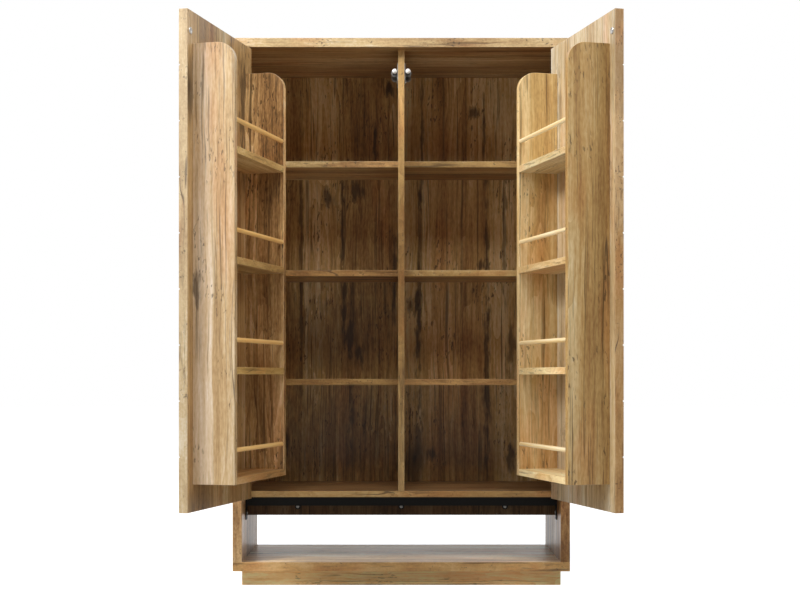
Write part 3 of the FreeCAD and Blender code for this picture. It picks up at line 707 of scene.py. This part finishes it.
def turned_wood_material(name, tones, grain, face, offset):
    """Close straight-grained lacquered wood of a rail or dowel."""
    material, net, shader = new_material(name)
    place, facing = along_board(net, grain, face, offset)
    streaks = net.grained(place, (3, 330, 330), 3.0)
    fibres = net.grained(place, (24, 1400, 1400))
    clouds = net.grained(place, (9, 60, 60))
    tone = net.weighed(0.45, (streaks, 1.3), (fibres, 0.5), (clouds, 0.7))
    wood = net.mixed(net.rise(tone, 0.1, 0.9), solid(tones[0]), solid(tones[1]))
    rough = net.weighed(0.34, (streaks, 0.2), (clouds, 0.15))
    relief = net.weighed(0.5, (streaks, 0.5), (fibres, 0.4))
    finish_shader(net, shader, relief, RAIL_GRAIN_DEPTH, {
        "Base Color": wood, "Roughness": rough, **RAIL_COAT,
    })
    return material


def fitting_material(name, fittings, drawn=(1, 1, 1)):
    """Metal or plastic with small changes of tone, gloss and level."""
    key, metallic, roughness, specks, swing = FINISHES[name]
    tone = Vector(getattr(fittings, key))
    material, net, shader = new_material(name)
    place = net.add("TexCoord")["Object"]
    fine = net.grained(place, [specks * way for way in drawn], 3.0)
    broad = net.grained(place, [specks * way / BROAD_SPECK for way in drawn])
    level = net.weighed(0.5, (fine, 1.2), (broad, 1.2))
    high = [min(1.0, part) for part in tone * (1 + swing)]
    shade = net.mixed(level, solid(tone * (1 - swing)), solid(high))
    rough = net.weighed(roughness, (fine, 0.25), (broad, 0.25))
    finish_shader(net, shader, fine, SPECK_DEPTH, {
        "Base Color": shade, "Roughness": rough, "Metallic": metallic,
        "Specular IOR Level": DULL.get(name, USUAL_GLOSS),
    })
    return material


# Places of the pieces

def door_turn(side):
    """The turn that carries a shut door's points to where the door stands open."""
    joint = JOINTS[side + "_door_hinge"]
    foot = Vector(joint["pos_m"])
    swing = math.radians(-joint["range_deg"][0])
    turn = Matrix.Rotation(swing, 4, Vector(joint["axis"]))
    return Matrix.Translation(foot) @ turn @ Matrix.Translation(-foot)


def solids_of(node, turn=STAY):
    """The points of each separate solid in a node, in the shut door's place when its turn is given."""
    mesh = frame["nodes"][node].data
    back = turn.inverted()
    groups = {}

    def head(key):
        while groups[key] != key:
            groups[key] = groups[groups[key]]
            key = groups[key]
        return key

    for face in mesh.polygons:
        keys = [mesh.vertices[index].co.to_tuple() for index in face.vertices]
        for key in keys:
            groups.setdefault(key, key)
            groups[head(key)] = head(keys[0])
    solids = {}
    for key in groups:
        solids.setdefault(head(key), []).append(back @ Vector(key))
    return list(solids.values())


def corners(points):
    """Lowest and highest corner of some points."""
    low = Vector([min(point[axis] for point in points) for axis in range(3)])
    high = Vector([max(point[axis] for point in points) for axis in range(3)])
    return low, high


def screw_seat(points):
    """Where the top of a screw's head is, and the way that it faces."""
    low, high = corners(points)
    axis = max(range(3), key=lambda index: high[index] - low[index])
    reach = (high[axis] - low[axis]) / HEAD_PARTS
    middle = (low + high) / 2
    ends = []
    for level, sign in ((low[axis], -1), (high[axis], 1)):
        rim = [point - middle for point in points if abs(point[axis] - level) < reach]
        for point in rim:
            point[axis] = 0
        ends.append((max(point.length for point in rim), level, sign))
    width, level, sign = max(ends)
    middle[axis] = level
    facing = Vector((0, 0, 0))
    facing[axis] = sign
    return middle, facing


def facing_matrix(place, facing):
    """Puts a piece that was made upright at the origin in its place, its top facing a direction."""
    return Matrix.Translation(place) @ facing.to_track_quat("Z", "Y").to_matrix().to_4x4()


# Modelling

def only(piece):
    """Selects one piece and nothing else."""
    bpy.ops.object.select_all(action="DESELECT")
    piece.select_set(True)
    bpy.context.view_layer.objects.active = piece


def settle(piece):
    """Moves a piece's place into its mesh."""
    only(piece)
    bpy.ops.object.transform_apply(location=True, rotation=True, scale=True)
    return piece


def placed(piece, matrix):
    """Puts a piece in its place."""
    piece.matrix_world = matrix
    return settle(piece)


def copied(piece, matrix):
    """A copy with its own mesh, in its place."""
    only(piece)
    bpy.ops.object.duplicate(linked=False)
    return placed(bpy.context.object, matrix)


def joined(pieces):
    """Several parts made one mesh."""
    only(pieces[0])
    for piece in pieces:
        piece.select_set(True)
    if len(pieces) > 1:
        bpy.ops.object.join()
    return settle(bpy.context.object)


def removed(piece):
    """Takes a helper piece away again."""
    only(piece)
    bpy.ops.object.delete()


def cut(piece, tool, operation="DIFFERENCE"):
    """Cuts a tool out of a piece, or joins it on, and takes the tool away."""
    only(piece)
    change = piece.modifiers.new("cut", "BOOLEAN")
    change.operation = operation
    change.solver = "EXACT"
    change.object = tool
    bpy.ops.object.modifier_apply(modifier=change.name)
    removed(tool)
    return piece


def softened(piece, width, segments=1, angle=30.0):
    """Rounds the sharp edges and smooths the shading."""
    only(piece)
    change = piece.modifiers.new("soften", "BEVEL")
    change.width = width
    change.segments = segments
    change.limit_method = "ANGLE"
    change.angle_limit = math.radians(angle)
    change.use_clamp_overlap = True
    bpy.ops.object.modifier_apply(modifier=change.name)
    bpy.ops.object.shade_smooth_by_angle(angle=math.radians(angle))
    return piece


def turned(outline, steps=ROUND_STEPS):
    """Turns an outline of radius and height points round the upright axis, as on a lathe."""
    bpy.ops.object.select_all(action="DESELECT")
    bpy.ops.mesh.primitive_plane_add(size=0.001, location=(0, 0, 0))
    piece = bpy.context.object
    bpy.ops.object.mode_set(mode="EDIT")
    bpy.ops.mesh.select_mode(type="VERT")
    bpy.ops.mesh.select_all(action="SELECT")
    bpy.ops.mesh.merge(type="CENTER")
    radius, height = outline[0]
    bpy.ops.transform.translate(value=(radius, 0, height))
    for next_radius, next_height in outline[1:]:
        step = (next_radius - radius, 0, next_height - height)
        bpy.ops.mesh.extrude_vertices_move(TRANSFORM_OT_translate={"value": step})
        radius, height = next_radius, next_height
    bpy.ops.mesh.select_all(action="SELECT")
    bpy.ops.mesh.spin(steps=steps, angle=2 * math.pi, center=(0, 0, 0), axis=(0, 0, 1))
    bpy.ops.mesh.select_all(action="SELECT")
    bpy.ops.mesh.remove_doubles(threshold=WELD)
    bpy.ops.mesh.normals_make_consistent(inside=False)
    bpy.ops.object.mode_set(mode="OBJECT")
    return settle(piece)


def cylinder(radius, top, bottom, steps=ROUND_STEPS):
    """An upright cylinder between two heights."""
    return turned([(0, top), (radius, top), (radius, bottom), (0, bottom)], steps)


def block(low, high):
    """A straight block between two corners."""
    middle = (low + high) / 2
    bpy.ops.object.select_all(action="DESELECT")
    bpy.ops.mesh.primitive_cube_add(size=1, location=middle, scale=high - low)
    return settle(bpy.context.object)


def picked(piece, kind, test):
    """Opens a piece for editing with those of its faces or edges selected that pass a test."""
    only(piece)
    bpy.ops.object.mode_set(mode="EDIT")
    bpy.ops.mesh.select_mode(type=kind)
    bpy.ops.mesh.select_all(action="DESELECT")
    bpy.ops.object.mode_set(mode="OBJECT")
    for part in piece.data.edges if kind == "EDGE" else piece.data.polygons:
        part.select = test(part)
    bpy.ops.object.mode_set(mode="EDIT")


def recessed(piece, screws):
    """Cuts the tapered cross recess into the head of an upright screw."""
    half = screws.slot_width / 2
    reach = screws.slot_span / 2
    for across, along in ((half, reach), (reach, half)):
        high = Vector((across, along, screws.slot_depth))
        tool = block(-high, high)
        picked(tool, "FACE", lambda face: face.normal.z < FACES_AWAY)
        bpy.ops.transform.resize(value=RECESS_TAPER)
        bpy.ops.object.mode_set(mode="OBJECT")
        cut(piece, tool)
    return piece


def pan_screw(screws, shank):
    """A raised-head screw, upright, the top of its head at the origin."""
    height = screws.pan_height
    outline = [(0, 0)]
    outline += [(screws.pan_radius * out, -height * down) for out, down in PAN_PROFILE]
    outline += [
        (screws.shank_radius, -height), (screws.shank_radius, -height - shank * SHANK_STRAIGHT),
        (0, -height - shank),
    ]
    return softened(recessed(turned(outline), screws), EASE)


def flat_screw(screws, shank):
    """A countersunk screw, upright, its flat head at the origin."""
    outline = [
        (0, 0), (screws.flat_radius, 0), (screws.shank_radius, -screws.flat_depth),
        (screws.shank_radius, -shank * SHANK_STRAIGHT), (0, -shank),
    ]
    return softened(recessed(turned(outline), screws), FLAT_EASE)


def adopt(piece, name, body, slot, *nodes):
    """Names a piece, lets it ride on its body and stand for its nodes."""
    piece.name = name
    piece.data.name = name
    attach(piece, body)
    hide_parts(*nodes)
    return piece


def placed_screws(name, node, body, screw, turn=STAY):
    """Puts copies of a screw where a node has its own, and stands them for that node."""
    parts = []
    for points in solids_of(node, turn):
        place, facing = screw_seat(points)
        parts.append(copied(screw, turn @ facing_matrix(place, facing)))
    return adopt(joined(parts), name, body, "screw_steel", node)


def latch_tube(latches, radius, long):
    """A latch's tube, upright with its mouth at the origin, ribbed between the collars."""
    groove = latches.rib_depth
    pitch = latches.rib_pitch
    bore = latches.bore_radius
    outline = [
        (0, latches.bore_end - long), (bore, latches.bore_end - long), (bore, -groove),
        (bore + groove, 0), (radius - groove, 0), (radius, -groove),
    ]
    start = latches.collar_inset + latches.collar_width + pitch
    for index in range(int((long - 2 * start) / pitch)):
        level = -start - index * pitch
        outline += [
            (radius, level), (radius - groove, level - groove),
            (radius - groove, level - pitch / 2), (radius, level - pitch / 2 - groove),
        ]
    outline += [(radius, 2 * groove - long), (radius - 2 * groove, -long), (0, -long)]
    return softened(turned(outline), EASE)


def latch_plate(latches, low, high):
    """The bracket's plate with rounded corners and a sunk panel inside a rim, its back on the divider."""
    plate = block(low, high)

    def runs_through(edge):
        first, second = (plate.data.vertices[index].co for index in edge.vertices)
        return abs(first.x - second.x) > latches.plate / 2

    picked(plate, "EDGE", runs_through)
    bpy.ops.mesh.bevel(offset=latches.corner, segments=CORNER_STEPS)
    bpy.ops.object.mode_set(mode="OBJECT")
    picked(plate, "FACE", lambda face: face.normal.x < FACES_AWAY)
    bpy.ops.mesh.inset(thickness=latches.panel_inset, depth=0)
    bpy.ops.mesh.inset(thickness=latches.panel_depth, depth=-latches.panel_depth)
    bpy.ops.object.mode_set(mode="OBJECT")
    return plate


def latch_bracket(latches, low, high, front, radius, long):
    """A latch's bracket in its place: a plate, two collars on feet, the tube's bore and the screw holes."""
    wall = latches.collar_wall
    width = latches.collar_width
    to_front = facing_matrix(front, -REAR)
    plate_low = Vector((high.x - latches.plate, low.y, low.z))
    bracket = latch_plate(latches, plate_low, high)
    collar_radius = radius + wall
    spread = collar_radius * FOOT_SPREAD
    bite = 2 * latches.panel_depth
    for start in (latches.collar_inset, long - latches.collar_inset - width):
        collar = cylinder(collar_radius, -start, -start - width)
        cut(bracket, placed(collar, to_front), "UNION")
        foot_low = Vector((plate_low.x - wall, front.y + start + wall, front.z - spread))
        foot_high = Vector((plate_low.x + bite, foot_low.y + width - 2 * wall, front.z + spread))
        cut(bracket, block(foot_low, foot_high), "UNION")
    bore = cylinder(radius + TUBE_CLEARANCE, wall, -long - wall)
    cut(bracket, placed(bore, to_front))
    for points in solids_of("latch_bracket_screws"):
        place, facing = screw_seat(points)
        if facing.x < 0:
            hole = cylinder(SCREW_HOLE, HOLE_ABOVE, HOLE_BELOW, HOLE_STEPS)
            cut(bracket, placed(hole, facing_matrix(place, facing)))
    return softened(bracket, BRACKET_EASE, segments=2)


def latch_tip(ball, deep):
    """A latch's tip, upright: a ball with a parting line, cut flat at the origin."""
    middle = deep - ball
    flat_turn = math.acos((ball - deep) / ball)
    outline = [(0, deep)]
    for index in range(1, TIP_RINGS + 1):
        around = flat_turn * index / TIP_RINGS
        outline.append((ball * math.sin(around), middle + ball * math.cos(around)))
    outline.append((0, 0))
    inside, outside = ball - PARTING, ball + PARTING_REACH
    above, below = middle + PARTING, middle - PARTING
    line = [(inside, above), (outside, above), (outside, below), (inside, below), (inside, above)]
    return softened(cut(turned(outline), turned(line)), TIP_EASE)


# Steps

class CABINET_OT_boards(bpy.types.Operator):
    """Gives every board its oak, with the grain along the board."""
    bl_idname = "cabinet.boards"
    bl_label = "Finish the oak boards"

    def execute(self, context):
        oak = context.scene.cabinet_oak
        pattern = oak_pattern(oak)
        boards = []
        for names, grain, face in (
            (LYING_BOARDS, RIGHT, UP), (FRONT_BOARDS, RIGHT, -REAR), (UPRIGHT_BOARDS, UP, RIGHT),
            (DEEP_BOARDS, REAR, RIGHT), (REAR_BOARDS, UP, -REAR),
        ):
            boards += [(name, grain, face) for name in names]
        for side in SIDES:
            turn = door_turn(side).to_3x3()
            boards.append((side + "_door_panel", UP, turn @ -REAR))
            boards += [(side + "_" + name, UP, turn @ RIGHT) for name in RACK_SIDES]
            boards += [(side + "_" + name, turn @ RIGHT, UP) for name in RACK_SHELVES]
        for count, (name, grain, face) in enumerate(boards, start=1):
            offset = BOARD_OFFSETS.get(name, [step * count for step in BOARD_STEP])
            dress_node(name, oak_material(name, pattern, oak, grain, face, offset))
        return {"FINISHED"}


class CABINET_OT_rails(bpy.types.Operator):
    """Gives the rack rails their lacquered wood and the dowels their beech."""
    bl_idname = "cabinet.rails"
    bl_label = "Finish rails and dowels"

    def execute(self, context):
        fittings = context.scene.cabinet_fittings
        # The right rails take the paler colour as painted highlight
        rail_tones = {
            "left": (fittings.rail_streak, fittings.rail), "right": (fittings.rail, fittings.pale_rail_painted_highlight),
        }
        beech_tones = (Vector(fittings.beech) * DOWEL_STREAK, fittings.beech)
        for count, side in enumerate(SIDES, start=1):
            grain = door_turn(side).to_3x3() @ RIGHT
            offset = [step * count for step in RAIL_STEP]
            rail = turned_wood_material(side + "_rail_wood", rail_tones[side], grain, UP, offset)
            dress_node(side + "_rack_rails", rail)
            beech = turned_wood_material(side + "_dowel_wood", beech_tones, grain, UP, offset)
            dress_node(side + "_rack_dowels", beech)
        beech = turned_wood_material("carcass_dowel_wood", beech_tones, UP, -REAR, (0, 0, 0))
        dress_node("carcass_dowels", beech)
        return {"FINISHED"}


class CABINET_OT_support_bar(bpy.types.Operator):
    """Gives the support bar its black powder coat."""
    bl_idname = "cabinet.support_bar"
    bl_label = "Finish the support bar"

    def execute(self, context):
        fittings = context.scene.cabinet_fittings
        dress_node("support_bar", fitting_material("black_powder_coat", fittings))
        return {"FINISHED"}


class CABINET_OT_hinges(bpy.types.Operator):
    """Gives the hinges and springs their metal."""
    bl_idname = "cabinet.hinges"
    bl_label = "Finish the hinges"

    def execute(self, context):
        fittings = context.scene.cabinet_fittings
        zinc = fitting_material("zinc_plate", fittings, ROLLED)
        for name in HINGE_PIECES:
            dress_node(name, zinc)
        dress_node("latch_springs", fitting_material("spring_steel", fittings))
        return {"FINISHED"}


class CABINET_OT_screws(bpy.types.Operator):
    """Models the cross-recessed screws and puts them in their holes."""
    bl_idname = "cabinet.screws"
    bl_label = "Make the screws"

    def execute(self, context):
        screws = context.scene.cabinet_screws
        fittings = context.scene.cabinet_fittings
        steel = fitting_material("screw_steel", fittings)
        steel_in_painted_shade = fitting_material("dark_screw_steel", fittings)
        pan_long = pan_screw(screws, LONG_SHANK)
        pan_short = pan_screw(screws, SHORT_SHANK)
        flat = flat_screw(screws, LONG_SHANK)
        # The bar's screws get the darker steel of painted shade
        dress(placed_screws("bar_screws", "support_bar_screws", CARCASS, pan_long), steel_in_painted_shade)
        dress(placed_screws("latch_screws", "latch_bracket_screws", CARCASS, pan_short), steel)
        dress(placed_screws("hinge_screws", "hinge_frame_screws", CARCASS, flat), steel)
        for side in SIDES:
            door = side + "_door"
            fixings = placed_screws(door + "_fixings", door + "_screws", door, flat, door_turn(side))
            dress(fixings, steel)
        for master in (pan_long, pan_short, flat):
            removed(master)
        return {"FINISHED"}


class CABINET_OT_latches(bpy.types.Operator):
    """Models the push latches on the divider: brackets, ribbed tubes and rounded tips."""
    bl_idname = "cabinet.latches"
    bl_label = "Make the push latches"

    def execute(self, context):
        latches = context.scene.cabinet_latches
        fittings = context.scene.cabinet_fittings
        grey = fitting_material("latch_grey", fittings)
        dark = fitting_material("latch_dark_grey", fittings)
        white = fitting_material("latch_white", fittings)
        tube_low, tube_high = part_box("left_latch_tube")
        bracket_low, bracket_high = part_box("left_latch_bracket")
        tip_low, tip_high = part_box("left_latch_tip")
        radius = (tube_high.x - tube_low.x) / 2
        long = tube_high.y - tube_low.y
        middle = (tube_low + tube_high) / 2
        front = Vector((middle.x, tube_low.y, middle.z))
        tube_place = facing_matrix(front, -REAR)
        tip_middle = (tip_low + tip_high) / 2
        tip_place = facing_matrix(Vector((tip_middle.x, tip_high.y, tip_middle.z)), -REAR)
        tube = latch_tube(latches, radius, long)
        bracket = latch_bracket(latches, bracket_low, bracket_high, front, radius, long)
        tip = latch_tip((tip_high.x - tip_low.x) / 2, tip_high.y - tip_low.y)

        # The right-hand latch is the left one turned over about the line through both
        level = Matrix.Translation((0, 0, middle.z))
        over = level @ Matrix.Rotation(math.pi, 4, REAR) @ level.inverted()
        for side, turn in zip(SIDES, (STAY, over)):
            for master, place, name, body, slot, material in (
                (bracket, STAY, "bracket", CARCASS, "latch_bracket_grey", grey),
                (tube, tube_place, "tube", CARCASS, "latch_dark_grey", dark),
                (tip, tip_place, "tip", side + "_latch_button", "latch_tip_white", white),
            ):
                piece = copied(master, turn @ place)
                adopt(piece, side + "_push_" + name, body, slot, side + "_latch_" + name)
                dress(piece, material)
            dress_node(side + "_latch_plunger", dark)
        for master in (bracket, tube, tip):
            removed(master)
        return {"FINISHED"}


class CABINET_OT_strikes(bpy.types.Operator):
    """Models the round strikes on the doors' inner faces."""
    bl_idname = "cabinet.strikes"
    bl_label = "Make the strikes"

    def execute(self, context):
        latches = context.scene.cabinet_latches
        nickel = fitting_material("strike_nickel", context.scene.cabinet_fittings)
        rim = latches.strike_rim
        hole = latches.strike_hole
        shank = hole * STRIKE_SINK
        for side in SIDES:
            turn = door_turn(side)
            low, high = corners(solids_of(side + "_door_strike", turn)[0])
            radius = (high.x - low.x) / 2
            thick = high.y - low.y
            outline = [(shank, -thick)]
            outline += [(radius - rim * inward, -thick * down) for inward, down in RIM_PROFILE]
            outline += [(hole, -thick * STRIKE_DISH), (shank, -thick * STRIKE_SINK), (shank, -thick)]
            middle = (low + high) / 2
            seat = facing_matrix(Vector((middle.x, high.y, middle.z)), REAR)
            strike = placed(softened(turned(outline, STRIKE_STEPS), EASE), turn @ seat)
            adopt(strike, side + "_strike", side + "_door", "strike_steel", side + "_door_strike")
            dress(strike, nickel)
        return {"FINISHED"}


def white_for_eye(net, depth, dim):
    """One for the eye, clear glass and a gloss that looks behind, nought for the light itself."""
    path = net.add("LightPath")
    behind = net.rise(depth, *FRONT_TO_REAR, dim)
    seen = net.calc("MAXIMUM", path["Is Camera Ray"], net.product(path["Is Glossy Ray"], behind))
    return net.calc("MAXIMUM", seen, path["Is Transmission Ray"])


def soft_light(name, place, size, watts):
    """A square soft light that faces the cabinet."""
    bpy.ops.object.select_all(action="DESELECT")
    bpy.ops.object.light_add(type="AREA", location=place)
    lamp = bpy.context.object
    lamp.name = name
    lamp.data.name = name
    lamp.data.energy = watts
    lamp.data.size = size
    lamp.rotation_euler = (Vector(place) - LIGHT_AIM).to_track_quat("Z", "Y").to_euler()


class CABINET_OT_stage(bpy.types.Operator):
    """Sets the pale floor, the white surround, the soft lights and the camera."""
    bl_idname = "cabinet.stage"
    bl_label = "Set the stage"

    def execute(self, context):
        scene = context.scene
        stage = scene.cabinet_stage
        scene.view_settings.view_transform = "Standard"

        # Floor
        bpy.ops.object.select_all(action="DESELECT")
        bpy.ops.mesh.primitive_plane_add(size=FLOOR_SIZE, location=(0, 0, 0))
        floor = context.object
        floor.name = "floor"
        material = bpy.data.materials.new("pale_floor")
        net = emptied(material)
        place = net.add("TexCoord")["Object"]
        white = white_for_eye(net, net.split(place)[1], stage.front_dim)
        pale = net.mixed(net.grained(place, (40, 40, 40)), *map(solid, FLOOR_TONES))
        matt = net.add("BsdfDiffuse", {"Color": pale})[0]
        level = net.rise(net.vector("LENGTH", place)["Value"], *FLOOR_FADE, stage.floor_white)
        glow = net.add("Emission", {"Strength": net.product(white, level)})[0]
        net.add("OutputMaterial", {0: net.add("AddShader", {0: matt, 1: glow})[0]})
        dress(floor, material)

        # Surround
        world = bpy.data.worlds.new("white_surround")
        scene.world = world
        net = emptied(world)
        depth = net.split(net.add("TexCoord")["Generated"])[1]
        level = net.calc("MAXIMUM", white_for_eye(net, depth, stage.front_dim), stage.surround)
        air = net.add("Background", {"Color": (1, 1, 1, 1), "Strength": level})[0]
        net.add("OutputWorld", {0: air})

        # Lights
        for name, size in LIGHT_SIZES.items():
            place, watts = (getattr(stage, name + part) for part in ("_place", "_power"))
            soft_light(name + "_light", place, size, watts)

        # Camera
        bpy.ops.object.select_all(action="DESELECT")
        bpy.ops.object.camera_add(
            location=(0, -stage.camera_distance, stage.camera_height), rotation=(math.pi / 2, 0, 0),
        )
        camera = context.object
        camera.name = "camera"
        camera.data.sensor_width = SENSOR_WIDTH
        camera.data.lens = stage.lens
        camera.data.shift_x = stage.shift_x
        camera.data.shift_y = stage.shift_y
        scene.camera = camera
        return {"FINISHED"}


class CABINET_PT_finish(bpy.types.Panel):
    """Lists the cabinet's sizes, finishes and steps."""
    bl_idname = "CABINET_PT_finish"
    bl_label = "Kitchen buffet cabinet"
    bl_space_type = "VIEW_3D"
    bl_region_type = "UI"
    bl_category = "Cabinet"

    def draw(self, context):
        for name, group in GROUPS.items():
            part = self.layout.box()
            settings = getattr(context.scene, name)
            for key in group.__annotations__:
                part.prop(settings, key)
        for operator in OPERATORS:
            self.layout.operator(operator.bl_idname)


GROUPS = {
    "cabinet_oak": CabinetOak,
    "cabinet_fittings": CabinetFittings,
    "cabinet_screws": CabinetScrews,
    "cabinet_latches": CabinetLatches,
    "cabinet_stage": CabinetStage,
}
OPERATORS = (
    CABINET_OT_boards, CABINET_OT_rails, CABINET_OT_support_bar, CABINET_OT_hinges,
    CABINET_OT_screws, CABINET_OT_latches, CABINET_OT_strikes, CABINET_OT_stage,
)


def register():
    """Makes the settings, steps and panel known."""
    for name, group in GROUPS.items():
        bpy.utils.register_class(group)
        setattr(bpy.types.Scene, name, bpy.props.PointerProperty(type=group))
    for operator in OPERATORS:
        bpy.utils.register_class(operator)
    bpy.utils.register_class(CABINET_PT_finish)


def unregister():
    """Takes the panel, steps and settings away again."""
    bpy.utils.unregister_class(CABINET_PT_finish)
    for operator in reversed(OPERATORS):
        bpy.utils.unregister_class(operator)
    for name, group in reversed(GROUPS.items()):
        delattr(bpy.types.Scene, name)
        bpy.utils.unregister_class(group)


def main():
    """Dresses the cabinet step by step."""
    register()
    bpy.ops.cabinet.boards()
    bpy.ops.cabinet.rails()
    bpy.ops.cabinet.support_bar()
    bpy.ops.cabinet.hinges()
    bpy.ops.cabinet.screws()
    bpy.ops.cabinet.latches()
    bpy.ops.cabinet.strikes()
    bpy.ops.cabinet.stage()


if __name__ == "__main__":
    main()
